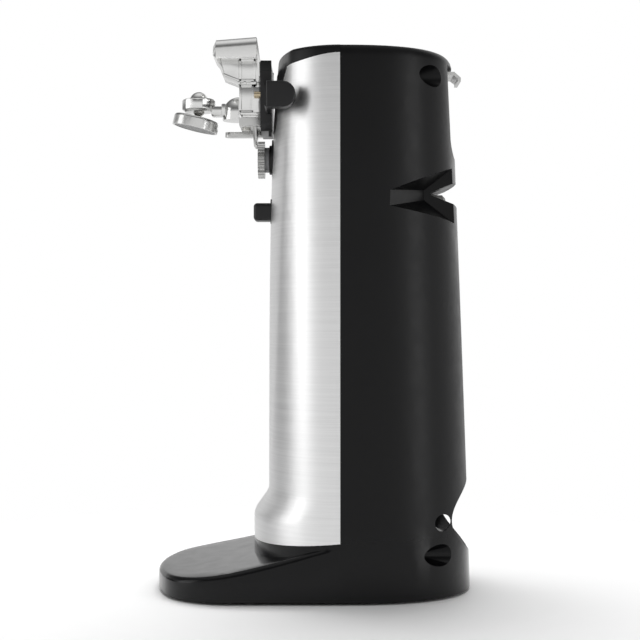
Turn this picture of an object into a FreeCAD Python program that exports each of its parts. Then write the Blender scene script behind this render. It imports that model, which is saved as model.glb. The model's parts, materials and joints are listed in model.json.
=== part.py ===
import FreeCAD, Part
import math
import os

# Tall electric can opener. Millimetres, +Z up, the front faces -Y.
# The origin is the middle of the base on the surface that it stands on.

# ---- overall size --------------------------------------------------------
BODY_HEIGHT = 251.0          # flat top of the housing
DRIVE_DROP = 47.1            # drive axis below that top
DRIVE_Z = BODY_HEIGHT - DRIVE_DROP
BASE_HALF_WIDTH = 54.0
TOP_HALF_WIDTH = 46.0
SEAM_Y = 11.7                # plane where the front and rear housings meet
BASE_REAR_DEPTH = 62.5       # seam to the rear wall, at the base
TOP_REAR_DEPTH = 53.6        # seam to the rear wall, at the top
TOE_DEPTH = 85.9             # seam to the tip of the toe
FOOT_HEIGHT = 1.2            # daylight under the housing
WALL = 2.3                   # moulded housings
PANEL_THICKNESS = 0.8        # stainless wrap
FIT_GAP = 0.1                # parts that seat on each other
RUN_GAP = 0.05               # radial, shaft in bush
FREE_GAP = 0.4               # moving part beside a fixed one

# ---- front face ----------------------------------------------------------
BAND_DEPTH = 33.4            # seam to the front band, low on the body
BAND_LEAN = 4.6              # how far the band leans back at the top
SIDE_DEPTH = 34.6            # seam to the nose of the side ellipse
SIDE_LEAN = 1.8
CREASE_TOP_X = 34.0          # half width of the front band at the top
CREASE_NARROWING = 13.6      # lost from that half width down to the flare
FLARE_DEPTH = 40.5           # seam to the foot of the flare
FLARE_TOP_Z = 48.0
FLARE_FOOT_Z = 34.0
PANEL_SIDE_TOP_Z = BODY_HEIGHT - 3.7    # upper edge of the wrap, at the seam
PANEL_FRONT_TOP_Z = BODY_HEIGHT - 7.5   # and at the front
PANEL_SIDE_FOOT_Z = 27.4     # lower edge, at the seam
PANEL_FRONT_FOOT_Z = 23.6    # and at the front

# ---- toe -----------------------------------------------------------------
TOE_CORNER_RADIUS = 33.0
TOE_FRONT_RADIUS = 95.5
TOE_FRONT_Z = 10.6
TOE_MIDDLE_Y = -41.8
TOE_MIDDLE_Z = 13.3
TOE_REAR_Y = -10.0
TOE_REAR_Z = 20.8

# ---- rear features -------------------------------------------------------
SUPERELLIPSE = 2.5           # squareness of the rear plan curve
TOP_ROUNDING = 5.0
CROWN_SIDE_SHARE = 0.35      # the crown is softer at the sides
WELL_RADIUS = 5.0
UPPER_WELL = (TOP_HALF_WIDTH - 12.0, BODY_HEIGHT - 12.4)   # x, z
LOWER_WELL = (BASE_HALF_WIDTH - 12.0, 20.5)
WELL_FLOOR_Y = SEAM_Y + 24.3
SCREW_RADIUS = 1.75
KNIFE_Z = DRIVE_Z - 18.1
KNIFE_APEX_Y = SEAM_Y + TOP_REAR_DEPTH - 11.1
KNIFE_HALF_ANGLE = 21.5
KNIFE_WALL_X = 22.0          # flat walls each side of the grinding wheel
OPENER_HALF_WIDTH = 22.0
OPENER_LOW_Z = BODY_HEIGHT - 48.0
OPENER_HIGH_Z = BODY_HEIGHT - 5.0
OPENER_FLOOR_Y = SEAM_Y + TOP_REAR_DEPTH - 10.3
CORD_RECESS_HALF_WIDTH = 36.0
CORD_RECESS_HALF_HEIGHT = 17.5
CORD_RECESS_Z = 35.0
CORD_RECESS_FLOOR_Y = SEAM_Y + BASE_REAR_DEPTH - 23.2
CORD_HOLE_RADIUS = 3.8

# ---- lever ---------------------------------------------------------------
PIVOT_X = -16.0
PIVOT_Z = DRIVE_Z + 31.8
PIVOT_RADIUS = 1.9
CARRIER_FRONT_Y = -25.3
CARRIER_REAR_Y = -20.2
CARRIER_TOP_Z = BODY_HEIGHT - 3.9
CARRIER_LOW_Z = DRIVE_Z + 12.3

# ---- drive ---------------------------------------------------------------
DRIVE_GEAR_RADIUS = 8.9
DRIVE_GEAR_FRONT_Y = -27.0
DRIVE_GEAR_WIDTH = 3.2
DRIVE_SHAFT_RADIUS = 3.0
BUSH_RADIUS = 9.65
MOTOR_Z = DRIVE_Z - 33.9
MOTOR_SHAFT_RADIUS = 2.0
AXLE_RADIUS = 1.5
GEAR_WIDTH = 4.0
GEAR_SPACING = 5.0
GEARBOX_FRONT_Y = -1.5       # inner face of the front plate
PLATE_THICKNESS = 2.0
PINION_TEETH = 10
FIRST_MODULE = 0.6
FIRST_TEETH = 48
SECOND_MODULE = 0.8
SECOND_TEETH = 44
THIRD_MODULE = 1.0
THIRD_TEETH = 36
IDLER_A_X = -12.0
POST_X = 26.0
POST_LOW_Z = MOTOR_Z - 14.0
POST_HIGH_Z = DRIVE_Z + 17.1
POST_RADIUS = 3.5

# ---- magnet --------------------------------------------------------------
MAGNET_Y = -55.6
MAGNET_BALL_Z = DRIVE_Z + 23.7
MAGNET_RADIUS = 11.0
MAGNET_HEIGHT = 5.4
MAGNET_TILT = 13.5

# ---- front details ---------------------------------------------------------
CORE_INSET = PANEL_THICKNESS + FIT_GAP
BAY_PROUD = 0.25             # the bay insert stands this far off the wrap

# ---- gear train ------------------------------------------------------------
TOOTH_PLAY = 0.06            # taken off each flank
THIRD_Y = GEARBOX_FRONT_Y + 1.5
SECOND_Y = THIRD_Y + GEAR_SPACING
FIRST_Y = SECOND_Y + GEAR_SPACING
REAR_PLATE_Y = FIRST_Y + GEAR_WIDTH + 1.5
FIRST_REACH = FIRST_MODULE * (PINION_TEETH + FIRST_TEETH) / 2
SECOND_REACH = SECOND_MODULE * (PINION_TEETH + SECOND_TEETH) / 2
THIRD_REACH = THIRD_MODULE * (PINION_TEETH + THIRD_TEETH) / 2
IDLER_A_Z = MOTOR_Z + math.sqrt(FIRST_REACH ** 2 - IDLER_A_X ** 2)
FIRST_BORE = 1.2
BEARING_RADIUS = 4.5
COLLAR_Y = DRIVE_GEAR_FRONT_Y + DRIVE_GEAR_WIDTH
WASHER_Y = COLLAR_Y + 2.2

# ---- motor and wheel -------------------------------------------------------
BRACKET_Y = REAR_PLATE_Y + PLATE_THICKNESS
BRACKET_HALF_WIDTH = 22.5
BRACKET_HALF_HEIGHT = 16.0
STACK_Y = BRACKET_Y + 5.0
STACK_DEPTH = 17.0
STACK_HALF_WIDTH = 25.0
STACK_LOW_Z = MOTOR_Z - 52.0
STACK_HIGH_Z = MOTOR_Z + 19.0
STACK_BACK_Y = STACK_Y + STACK_DEPTH
MOTOR_BACK_Y = STACK_BACK_Y + 4.6
ROTOR_RADIUS = 12.8
LIMB_HEIGHT = 13.0
WHEEL_RADIUS = 17.0
WHEEL_FRONT_Y = KNIFE_APEX_Y + 1.3
WHEEL_WIDTH = 7.0
WHEEL_NUT_Y = WHEEL_FRONT_Y + WHEEL_WIDTH

# ---- opener and cutter -----------------------------------------------------
OPENER_SCREW_Z = BODY_HEIGHT - 25.0
OPENER_THICKNESS = 1.6
ARM_END_X = 41.0
ARM_FRONT_Y = -22.6
GRIP_END_X = 46.0
GRIP_MIDDLE_Z = DRIVE_Z + 24.8
GRIP_RADIUS = 5.9
PIVOT_INNER_Y = WALL - 10.9
CAM_FRONT_Y = WALL - 14.7
CAM_REAR_Y = WALL - 11.7
CAM_HALF_HEIGHT = 2.5
CAM_REACH = 11.0
HOOD_Y = -40.2
HOOD_RADIUS = 5.8
HOOD_Z = DRIVE_Z + 24.2       # middle of the hood's dome
LEDGE_LOW_Z = DRIVE_Z + 18.9
BLADE_X = 2.0
BLADE_RADIUS = 9.6
BLADE_FRONT_Y = -29.0
BLADE_REAR_Y = -27.4
BALL_RADIUS = 2.8
DISC_TOP = 3.5               # below the ball's middle, along the tilted stud
PLUNGER_X = PIVOT_X + 9.0
SWITCH_BOX = (-13.0, -2.5, WALL - 16.6, WALL - 9.6, DRIVE_Z + 12.6, DRIVE_Z + 25.1)

# ---- patterns --------------------------------------------------------------
SCREW_PLACES = [(side * x, z) for x, z in (UPPER_WELL, LOWER_WELL) for side in (-1, 1)]
POSTS = [(side * POST_X, z) for z in (POST_LOW_Z, POST_HIGH_Z) for side in (-1, 1)]
MOTOR_SCREWS = [(side * 19.0, z) for z in (MOTOR_Z - 12, MOTOR_Z + 12) for side in (-1, 1)]
FEET = [(x, y) for x in (-36.0, 36.0) for y in (-48.0, 46.0)]

X_AXIS = FreeCAD.Vector(1, 0, 0)
Y_AXIS = FreeCAD.Vector(0, 1, 0)
Z_AXIS = FreeCAD.Vector(0, 0, 1)


def vec(x, y, z):
    return FreeCAD.Vector(x, y, z)


def over(height):
    """Height above the drive axis, from which the head is set out."""
    return DRIVE_Z + height


def box(x0, x1, y0, y1, z0, z1):
    return Part.makeBox(x1 - x0, y1 - y0, z1 - z0, vec(x0, y0, z0))


def rod_y(x, z, radius, y0, y1):
    return Part.makeCylinder(radius, y1 - y0, vec(x, y0, z), Y_AXIS)


def rod_x(y, z, radius, x0, x1):
    return Part.makeCylinder(radius, x1 - x0, vec(x0, y, z), X_AXIS)


def rod_z(x, y, radius, z0, z1):
    return Part.makeCylinder(radius, z1 - z0, vec(x, y, z0), Z_AXIS)


def join(shapes):
    """Fuse one at a time, which keeps near-tangent faces clean."""
    whole = shapes[0]
    for shape in shapes[1:]:
        whole = whole.fuse(shape).removeSplitter()
    return whole


def prism_x(outline, x0, x1):
    """A (y, z) outline of straight edges, pulled from x0 to x1."""
    points = [vec(x0, y, z) for y, z in outline]
    face = Part.Face(Part.makePolygon(points + points[:1]))
    return face.extrude(vec(x1 - x0, 0, 0))


def prism_y(outline, y0, y1):
    """An (x, z) outline of straight edges, pulled from y0 to y1."""
    points = [vec(x, y0, z) for x, z in outline]
    face = Part.Face(Part.makePolygon(points + points[:1]))
    return face.extrude(vec(0, y1 - y0, 0))


def spline(points):
    curve = Part.BSplineCurve()
    curve.interpolate(points)
    return curve.toShape()


def round_edges(shape, radius, wanted):
    """Round each edge whose middle point passes the test `wanted`."""
    edges = [edge for edge in shape.Edges if wanted(edge.CenterOfMass, edge)]
    return shape.makeFillet(radius, edges)


# ---- body surfaces -------------------------------------------------------

def taper(z, low, high, power):
    """Goes from `low` at the base to `high` at the top."""
    share = max(z, 0.0) / BODY_HEIGHT
    return low + (high - low) * share ** power


def half_width(z):
    return taper(z, BASE_HALF_WIDTH, TOP_HALF_WIDTH, 2)


def rear_depth(z):
    return taper(z, BASE_REAR_DEPTH, TOP_REAR_DEPTH, 1.1)


def flare_share(z):
    """0 above the flare, 1 at its foot, with a smooth turn at both ends."""
    share = (FLARE_TOP_Z - z) / (FLARE_TOP_Z - FLARE_FOOT_Z)
    share = min(max(share, 0.0), 1.0)
    return share * share * (3 - 2 * share)


def band_depth(z):
    straight = BAND_DEPTH - BAND_LEAN * (z / BODY_HEIGHT) ** 5
    return straight + (FLARE_DEPTH - straight) * flare_share(z)


def side_depth(z):
    straight = SIDE_DEPTH - SIDE_LEAN * (z / BODY_HEIGHT) ** 5
    return straight + (FLARE_DEPTH - straight) * flare_share(z)


def crease_x(z):
    return CREASE_TOP_X - CREASE_NARROWING * ((BODY_HEIGHT - z) / 205.0) ** 2.3


def front_wire(z, inset):
    """Plan curve of the front half: side, band, side and the seam line."""
    width = half_width(z) - inset
    depth = side_depth(z) - inset
    crease = crease_x(z) * width / half_width(z)
    last = math.asin(crease / width)
    side = []
    for step in range(9):
        angle = math.radians(90) + (last - math.radians(90)) * step / 8
        side.append((width * math.sin(angle), SEAM_Y - depth * math.cos(angle)))
    crease_y = side[-1][1]
    nose_y = SEAM_Y - band_depth(z) + inset
    band = []
    for step in range(7):
        x = crease * (1 - step / 3)
        band.append((x, nose_y + (crease_y - nose_y) * (x / crease) ** 2))
    left = [(-x, y) for x, y in reversed(side)]
    edges = [spline([vec(x, y, z) for x, y in run]) for run in (side, band, left)]
    edges.append(Part.makeLine(vec(-width, SEAM_Y, z), vec(width, SEAM_Y, z)))
    return Part.Wire(edges)


def front_solid(inset, z0, z1):
    """Front half in three stretches: straight foot, flare and leaning shaft."""
    flare = [FLARE_FOOT_Z + (FLARE_TOP_Z - FLARE_FOOT_Z) * step / 5 for step in range(6)]
    shaft = [FLARE_TOP_Z, 70.0, 115.0, 160.0, 200.0, 230.0, z1]
    stretches = [(flare, False), (shaft, False)]
    if z0 < FLARE_FOOT_Z:
        stretches.insert(0, ([z0, FLARE_FOOT_Z], True))
    solids = []
    for levels, straight in stretches:
        wires = [front_wire(z, inset) for z in levels]
        solids.append(Part.makeLoft(wires, True, straight))
    return join(solids)


def crown_inset(z):
    """Extra inset that rounds the top edge of the rear housing."""
    rise = (z - (BODY_HEIGHT - TOP_ROUNDING)) / TOP_ROUNDING
    if rise <= 0:
        return 0.0
    return TOP_ROUNDING * (1 - math.sqrt(max(0.0, 1 - rise * rise)))


def rear_wire(z, inset, crowned):
    """Plan curve of the rear half, a superellipse closed by the seam line."""
    crown = crown_inset(z) if crowned else 0.0
    width = half_width(z) - inset - crown * CROWN_SIDE_SHARE
    depth = rear_depth(z) - inset - crown
    power = 2 / SUPERELLIPSE
    points = []
    for step in range(25):
        angle = math.pi * step / 24
        across = math.copysign(abs(math.cos(angle)) ** power, math.cos(angle))
        along = abs(math.sin(angle)) ** power
        points.append(vec(width * across, SEAM_Y + depth * along, z))
    seam = Part.makeLine(points[-1], points[0])
    return Part.Wire([spline(points), seam])


def rear_loft(levels, inset, crowned):
    return Part.makeLoft([rear_wire(z, inset, crowned) for z in levels], True, False)


def rear_solid(inset, z0, z1):
    middle = [z for z in (60.0, 110.0, 160.0, 205.0) if z0 + 2 < z < z1 - 2]
    return rear_loft([z0] + middle + [z1], inset, False)


def rear_outside():
    """Whole outside of the rear housing, with its crowned top edge."""
    shoulder = BODY_HEIGHT - TOP_ROUNDING
    crown = [shoulder + TOP_ROUNDING * math.sin(math.radians(angle)) for angle in (0, 20, 40, 60, 80)]
    return join([rear_solid(0, FOOT_HEIGHT, shoulder), rear_loft(crown + [BODY_HEIGHT], 0, True)])


def curved_prism_x(curve, corners, x0, x1):
    """A (y, z) outline, a smooth curve closed by straight edges, pulled along X."""
    smooth = spline([vec(x0, y, z) for y, z in curve])
    path = [curve[-1]] + corners + [curve[0]]
    points = [vec(x0, y, z) for y, z in path]
    lines = [Part.makeLine(a, b) for a, b in zip(points, points[1:])]
    return Part.Face(Part.Wire([smooth] + lines)).extrude(vec(x1 - x0, 0, 0))


def above_wave(gap):
    """Space above the waved line where the wrap ends and the black cap starts."""
    reach = TOE_DEPTH
    drop = PANEL_SIDE_TOP_Z - PANEL_FRONT_TOP_Z
    curve = []
    for step in range(7):
        share = step / 6
        turn = share * share * (3 - 2 * share)
        y = SEAM_Y + 1 - (BAND_DEPTH - 2) * share
        curve.append((y, PANEL_SIDE_TOP_Z + gap - drop * turn))
    front = SEAM_Y - reach
    corners = [(front, curve[-1][1]), (front, BODY_HEIGHT + 9), (SEAM_Y + 1, BODY_HEIGHT + 9)]
    return curved_prism_x(curve, corners, -BASE_HALF_WIDTH - 9, BASE_HALF_WIDTH + 9)


def below_wrap(gap):
    """Space below the sloping lower edge of the wrap."""
    front = SEAM_Y - FLARE_DEPTH
    slope = (PANEL_SIDE_FOOT_Z - PANEL_FRONT_FOOT_Z) / FLARE_DEPTH
    far = front - 60
    outline = [(SEAM_Y + 1, PANEL_SIDE_FOOT_Z - gap + slope)]
    outline.append((far, PANEL_FRONT_FOOT_Z - gap + slope * (far - front)))
    outline += [(far, -9), (SEAM_Y + 1, -9)]
    return prism_x(outline, -BASE_HALF_WIDTH - 9, BASE_HALF_WIDTH + 9)


def toe_solid(inset, low):
    """Blunt round-cornered toe whose top falls towards the front."""
    width = BASE_HALF_WIDTH - inset
    tip = SEAM_Y - TOE_DEPTH + inset
    radius = TOE_FRONT_RADIUS - inset
    corner_y = tip + radius - math.sqrt(radius ** 2 - width ** 2)
    right = Part.makeLine(vec(width, SEAM_Y, low), vec(width, corner_y, low))
    front = Part.Arc(vec(width, corner_y, low), vec(0, tip, low), vec(-width, corner_y, low))
    left = Part.makeLine(vec(-width, corner_y, low), vec(-width, SEAM_Y, low))
    seam = Part.makeLine(vec(-width, SEAM_Y, low), vec(width, SEAM_Y, low))
    plan = Part.Face(Part.Wire([right, front.toShape(), left, seam]))
    block = plan.extrude(vec(0, 0, 40 - low))
    corner = TOE_CORNER_RADIUS - inset
    block = round_edges(block, corner, lambda c, e: abs(c.y - corner_y) < 0.1 and abs(c.x) > 9)
    curve = [(SEAM_Y + 0.1, PANEL_SIDE_FOOT_Z - 0.4 - inset)]
    curve.append((TOE_REAR_Y, TOE_REAR_Z - inset))
    curve.append((TOE_MIDDLE_Y, TOE_MIDDLE_Z - inset))
    curve.append((SEAM_Y - TOE_DEPTH - 1, TOE_FRONT_Z - inset))
    corners = [(SEAM_Y - TOE_DEPTH - 1, 60), (SEAM_Y + 0.1, 60)]
    sky = curved_prism_x(curve, corners, -BASE_HALF_WIDTH - 9, BASE_HALF_WIDTH + 9)
    return block.cut(sky)


def bay_shield(grow):
    """Shield-shaped field behind the lever, wide at the cap."""
    wide = 29.0 + grow
    narrow = 9.5 + grow
    top = BODY_HEIGHT
    low = over(12.1) - grow
    outline = [(-wide, top), (-wide, over(39.1)), (-narrow, low + 4), (-narrow + 4, low)]
    outline += [(narrow - 4, low), (narrow, low + 4), (wide, over(39.1)), (wide, top)]
    return prism_y(outline, -40, SEAM_Y - 5)


# ---- front ---------------------------------------------------------------


def front_core():
    """Outside of the moulding behind the wrap."""
    return front_solid(CORE_INSET, FOOT_HEIGHT, BODY_HEIGHT - 1)


def front_panel():
    """Brushed stainless wrap, open for the lever, the drive bush and the can guide."""
    skin = front_solid(0, 10, BODY_HEIGHT - 1).cut(front_solid(PANEL_THICKNESS, 8, BODY_HEIGHT))
    skin = skin.cut(above_wave(0)).cut(below_wrap(0)).cut(bay_shield(FIT_GAP))
    skin = skin.cut(rod_y(0, DRIVE_Z, BUSH_RADIUS + FIT_GAP, -40, SEAM_Y))
    return skin.cut(can_guide_block(FIT_GAP))


def lever_bay():
    """Black insert that fills the opening of the wrap behind the lever."""
    field = front_solid(-BAY_PROUD, FLARE_FOOT_Z, BODY_HEIGHT - 1)
    field = field.cut(front_solid(PANEL_THICKNESS, FOOT_HEIGHT, BODY_HEIGHT - 1))
    field = field.common(bay_shield(0)).cut(above_wave(-FIT_GAP))
    field = field.cut(rod_y(0, DRIVE_Z, BUSH_RADIUS + FIT_GAP, -40, SEAM_Y))
    return field.cut(rod_y(PIVOT_X, PIVOT_Z, PIVOT_RADIUS + RUN_GAP, -40, SEAM_Y))


def front_housing():
    """One moulding: visor cap, core behind the wrap, and the toe."""
    toe = toe_solid(0, FOOT_HEIGHT)
    tip = SEAM_Y - TOE_DEPTH
    toe = round_edges(toe, 2.4, lambda c, e: c.z > 9 and c.y < SEAM_Y - 1 and e.BoundBox.XLength > 1
                      and e.BoundBox.ZLength < 9)
    whole = front_solid(0, FOOT_HEIGHT, BODY_HEIGHT)
    cap = whole.common(above_wave(FIT_GAP))
    cap = round_edges(cap, 1.6, lambda c, e: c.z > BODY_HEIGHT - 0.1 and c.y < SEAM_Y - 1)
    plinth = whole.common(below_wrap(FIT_GAP))
    core = front_core()
    shape = join([toe, plinth, core, cap])
    inner = CORE_INSET + WALL
    shape = shape.cut(front_solid(inner, FOOT_HEIGHT - 1, BODY_HEIGHT - WALL - 1))
    shape = shape.cut(toe_solid(WALL, FOOT_HEIGHT - 1))
    inside = core.common(box(-60, 60, tip, SEAM_Y, FOOT_HEIGHT + 3, BODY_HEIGHT - 2))
    bosses = [rod_y(x, z, 4.4, -24, SEAM_Y) for x, z in SCREW_PLACES]
    bosses += [box(*sorted((x, x * 1.5)), -24, SEAM_Y, z - 1.5, z + 1.5) for x, z in SCREW_PLACES]
    bosses += [rod_y(x, z, POST_RADIUS, -24, GEARBOX_FRONT_Y - PLATE_THICKNESS) for x, z in POSTS]
    bosses.append(box(-11, -4.5, -24, SWITCH_BOX[2], over(13.6), over(24.1)))
    shape = join([shape] + [boss.common(inside) for boss in bosses])
    for x, z in SCREW_PLACES:
        shape = shape.cut(rod_y(x, z, SCREW_RADIUS, SEAM_Y - 14, SEAM_Y + 1))
    for x, z in POSTS:
        shape = shape.cut(rod_y(x, z, SCREW_RADIUS, -10, 0))
    shape = shape.cut(rod_y(0, DRIVE_Z, BUSH_RADIUS + FIT_GAP, -40, SEAM_Y))
    shape = shape.cut(can_guide_block(FIT_GAP))
    return shape.cut(rod_y(PIVOT_X, PIVOT_Z, PIVOT_RADIUS + RUN_GAP, -40, SEAM_Y))


def can_guide_block(grow):
    """Body of the can guide: a stub that widens into a flange at the panel."""
    stub = box(-6 - grow, 6 + grow, -29.1, -14, over(-29.5) - grow, over(-21) + grow)
    stub = round_edges(stub, 1.8, lambda c, e: c.y < -20)
    flange = box(-8 - grow, 8 + grow, -20.9, -14, over(-31.1) - grow, over(-19.5) + grow)
    return join([stub, flange])


def can_guide():
    """Black stop that keeps the can upright, clipped through the panel."""
    return can_guide_block(0)


# ---- rear ----------------------------------------------------------------

def knife_scoop(grow, side):
    """Lead-in for a blade: a V that deepens from the side towards the flat wall."""
    near = side * (KNIFE_WALL_X - grow)
    far = side * (BASE_HALF_WIDTH + grow)
    back = 73.0
    inner = [(51.2, 1.6), (back, 18.5), (back, -19.8), (51.2, -3.0)]
    outer = [(30.0, -1.0), (back, 17.2), (back, -18.4), (30.0, -8.6)]
    wires = []
    for x, corners in ((near, inner), (far, outer)):
        points = []
        for y, z in corners:
            lift = grow if z > -2 else -grow
            inward = grow * 1.3 if y < back else 0
            points.append(vec(x, y - inward, KNIFE_Z + z + lift))
        wires.append(Part.makePolygon(points + points[:1]))
    return Part.makeLoft(wires, True, True)


def knife_slot(grow, x0, x1):
    """V slot that runs right across, with its point just over the wheel's rim."""
    back = 73.0
    rise = (back - KNIFE_APEX_Y) * math.tan(math.radians(KNIFE_HALF_ANGLE)) + 0.6 + grow
    outline = [(KNIFE_APEX_Y - grow, KNIFE_Z + 0.6 + grow), (back, KNIFE_Z + rise)]
    outline += [(back, KNIFE_Z - rise), (KNIFE_APEX_Y - grow, KNIFE_Z - 0.6 - grow)]
    return prism_x(outline, x0, x1)


def opener_pocket(grow):
    """Recess for the bottle opener, round at its lower corners."""
    half = OPENER_HALF_WIDTH + grow
    low = OPENER_LOW_Z - grow
    block = box(-half, half, OPENER_FLOOR_Y - grow, 90, low, OPENER_HIGH_Z + min(grow, 1.5))
    return round_edges(block, 9 + grow, lambda c, e: abs(c.z - low) < 0.1 and abs(c.x) > 5
                       and e.BoundBox.YLength > 9)


def cord_pocket(grow):
    """Oval recess low on the rear for stowing the cord."""
    centre = vec(0, CORD_RECESS_FLOOR_Y - grow, CORD_RECESS_Z)
    oval = Part.Ellipse(centre, CORD_RECESS_HALF_WIDTH + grow, CORD_RECESS_HALF_HEIGHT + grow)
    edge = oval.toShape()
    edge.rotate(centre, X_AXIS, 90)
    return Part.Face(Part.Wire(edge)).extrude(vec(0, 90 - CORD_RECESS_FLOOR_Y, 0))


def rear_housing():
    """Tall black rear moulding with its wells, knife notch and recesses."""
    outer = rear_outside()
    shell = outer.cut(rear_solid(WALL, FOOT_HEIGHT - 1, BODY_HEIGHT - WALL))
    lining = [knife_scoop(WALL, 1), knife_scoop(WALL, -1), opener_pocket(WALL), cord_pocket(WALL)]
    for x, z in SCREW_PLACES:
        lining.append(rod_y(x, z, WELL_RADIUS + WALL, WELL_FLOOR_Y - WALL, 90))
        lining.append(rod_y(x, z, SCREW_RADIUS + WALL, SEAM_Y, WELL_FLOOR_Y))
    shell = join([shell] + [piece.common(outer) for piece in lining])
    within = rear_solid(WALL / 2, FOOT_HEIGHT, BODY_HEIGHT - WALL / 2)
    ribs = [box(*sorted((x, x * 1.5)), SEAM_Y, WELL_FLOOR_Y, z - 1.5, z + 1.5) for x, z in SCREW_PLACES]
    shell = join([shell] + [rib.common(within) for rib in ribs])
    shell = shell.cut(knife_scoop(0, 1)).cut(knife_scoop(0, -1))
    shell = shell.cut(knife_slot(0, -30, 30))
    shell = shell.cut(opener_pocket(0)).cut(cord_pocket(0))
    cord_y = CORD_RECESS_FLOOR_Y + CORD_HOLE_RADIUS + 3.6
    shell = shell.cut(rod_x(cord_y, CORD_RECESS_Z, CORD_HOLE_RADIUS, 28, 60))
    shell = shell.cut(rod_x(cord_y, CORD_RECESS_Z, CORD_HOLE_RADIUS, -60, -28))
    for x, z in SCREW_PLACES:
        shell = shell.cut(rod_y(x, z, WELL_RADIUS, WELL_FLOOR_Y, 90))
        shell = shell.cut(rod_y(x, z, SCREW_RADIUS + FIT_GAP, SEAM_Y - 1, WELL_FLOOR_Y + 1))
    opener_screw = rod_y(0, OPENER_SCREW_Z, 1.4, OPENER_FLOOR_Y - 9, OPENER_FLOOR_Y + 1)
    boss = rod_y(0, OPENER_SCREW_Z, 3.6, OPENER_FLOOR_Y - 9, OPENER_FLOOR_Y - WALL)
    return join([shell, boss]).cut(opener_screw)


def bottle_opener():
    """Pressed steel plate with a turned-out hook, screwed into its recess."""
    y = OPENER_FLOOR_Y
    plate = box(-11, 11, y, y + OPENER_THICKNESS, OPENER_HIGH_Z - 28, OPENER_HIGH_Z - 1)
    outline = [(y, over(41.1)), (66.6, over(41.1)), (69.7, over(38.3)), (69.7, over(36.5))]
    outline += [(68.2, over(36.5)), (68.2, over(37.9)), (66.2, over(39.5)), (y, over(39.5))]
    tongue = prism_x(outline, -9, 9)
    shape = join([plate, tongue])
    return shape.cut(rod_y(0, OPENER_SCREW_Z, 1.6, y - 1, y + 4))


def opener_screw():
    y = OPENER_FLOOR_Y + OPENER_THICKNESS
    head = rod_y(0, OPENER_SCREW_Z, 2.8, y, y + 1.6)
    slot = box(-0.4, 0.4, y + 0.8, y + 2, OPENER_SCREW_Z - 2, OPENER_SCREW_Z + 2)
    return join([head.cut(slot), rod_y(0, OPENER_SCREW_Z, 1.3, y - 8, y)])


def knife_guide():
    """Black block between the flat walls that steers the blade over the wheel."""
    side = KNIFE_WALL_X - WALL - 0.3
    block = box(-side, side, 49.0, 70, over(-29.4), over(-3.7)).common(rear_solid(WALL + 0.1, 100, over(36.1)))
    wheel_room = rod_y(0, MOTOR_Z, WHEEL_RADIUS + 1, WHEEL_FRONT_Y - 1, WHEEL_FRONT_Y + WHEEL_WIDTH + 1)
    return block.cut(knife_slot(0, -30, 30)).cut(wheel_room)


def housing_screws():
    screws = []
    for x, z in SCREW_PLACES:
        head = rod_y(x, z, 3.2, WELL_FLOOR_Y, WELL_FLOOR_Y + 2.4)
        cross = box(x - 0.4, x + 0.4, WELL_FLOOR_Y + 1.2, WELL_FLOOR_Y + 3, z - 2, z + 2)
        cross = join([cross, box(x - 2, x + 2, WELL_FLOOR_Y + 1.2, WELL_FLOOR_Y + 3, z - 0.4, z + 0.4)])
        shank = rod_y(x, z, SCREW_RADIUS - RUN_GAP, SEAM_Y - 12, WELL_FLOOR_Y)
        screws.append(join([head.cut(cross), shank]))
    return Part.makeCompound(screws)


def bottom_cover():
    """Flat plate that closes the base from below and carries the feet."""
    clear = WALL + 0.3
    low = box(-60, 60, -90, 90, FOOT_HEIGHT, FOOT_HEIGHT + 2)
    front = toe_solid(clear, FOOT_HEIGHT - 1).common(low)
    rear = rear_solid(clear, FOOT_HEIGHT - 1, 60).common(low)
    return join([front, rear])


def rubber_feet():
    return Part.makeCompound([rod_z(x, y, 7.0, 0, FOOT_HEIGHT) for x, y in FEET])


# ---- drive ---------------------------------------------------------------

def gear(x, z, y, width, module, teeth, phase, bore):
    """Spur gear about Y with involute flanks; a tooth centre lies at `phase` degrees."""
    pressure = math.radians(20)
    pitch_radius = module * teeth / 2
    base_radius = pitch_radius * math.cos(pressure)
    root_radius = pitch_radius - 1.25 * module
    half_pitch = math.pi / teeth
    half_tooth = half_pitch / 2 - TOOTH_PLAY / pitch_radius

    def half_angle(radius):
        angle = math.acos(min(1.0, base_radius / radius))
        at_pitch = math.tan(pressure) - pressure
        return half_tooth + at_pitch - (math.tan(angle) - angle)

    radii = [max(base_radius, root_radius + 0.01), pitch_radius, pitch_radius + 0.9 * module]
    profile = []
    for tooth in range(teeth):
        centre = math.radians(phase) + 2 * half_pitch * tooth
        widest = half_angle(radii[0])
        profile.append((root_radius, centre - widest))
        profile += [(radius, centre - half_angle(radius)) for radius in radii]
        profile += [(radius, centre + half_angle(radius)) for radius in reversed(radii)]
        profile.append((root_radius, centre + widest))
    outline = [(x + r * math.cos(a), z + r * math.sin(a)) for r, a in profile]
    return prism_y(outline, y, y + width).cut(rod_y(x, z, bore, y - 1, y + width + 1))


def idler_b_place():
    """Where circles round idler A and round the drive shaft cross, on the right."""
    dx = -IDLER_A_X
    dz = DRIVE_Z - IDLER_A_Z
    gap = math.hypot(dx, dz)
    along = (SECOND_REACH ** 2 - THIRD_REACH ** 2 + gap ** 2) / (2 * gap)
    aside = math.sqrt(SECOND_REACH ** 2 - along ** 2)
    x = IDLER_A_X + (along * dx + aside * dz) / gap
    z = IDLER_A_Z + (along * dz - aside * dx) / gap
    return x, z


IDLER_B_X, IDLER_B_Z = idler_b_place()


def facing(x0, z0, x1, z1):
    """Direction in degrees from one shaft to another, seen from the front."""
    return math.degrees(math.atan2(z1 - z0, x1 - x0))


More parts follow.
